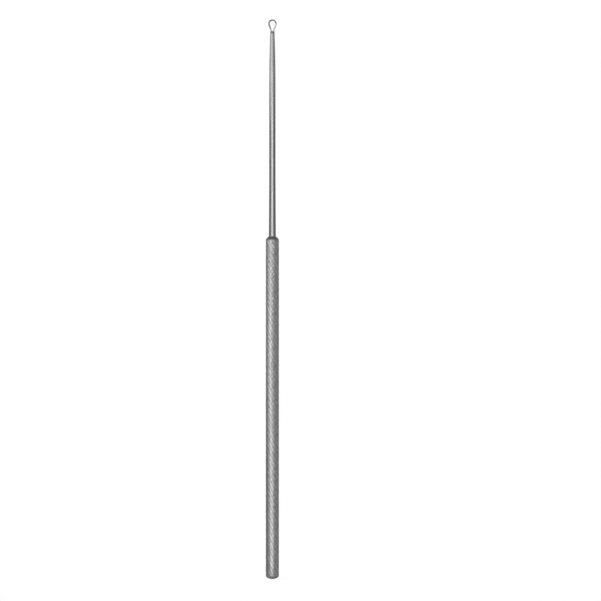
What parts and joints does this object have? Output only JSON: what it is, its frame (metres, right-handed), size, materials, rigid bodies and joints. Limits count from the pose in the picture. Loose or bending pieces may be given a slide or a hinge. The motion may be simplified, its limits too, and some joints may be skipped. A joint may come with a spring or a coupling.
{
  "type": "ear curette",
  "caption": "Slim hand tool for clearing the ear canal: a small wire loop on a tapered steel shank, brazed into a knurled round handle with a domed butt.",
  "frame": {"origin": "centre of the small flat on the handle's butt end", "axes": "+Z along the tool from the butt to the loop; the loop lies in the XZ plane and is seen open from -Y"},
  "size_m": [0.0038, 0.0038, 0.16],
  "materials": {
    "knurled_steel": "satin stainless steel with a rolled diamond knurl, polished at the chamfer and the butt",
    "polished_steel": "polished stainless steel with fine lines along its length",
    "wire_steel": "bright drawn stainless steel wire",
    "silver_braze": "silver brazing metal, lightly polished"
  },
  "bodies": {
    "root": {"handle": "knurled_steel", "shank": "polished_steel", "loop_wire": "wire_steel", "neck_braze": "silver_braze", "tip_braze": "silver_braze"}
  },
  "joints": []
}
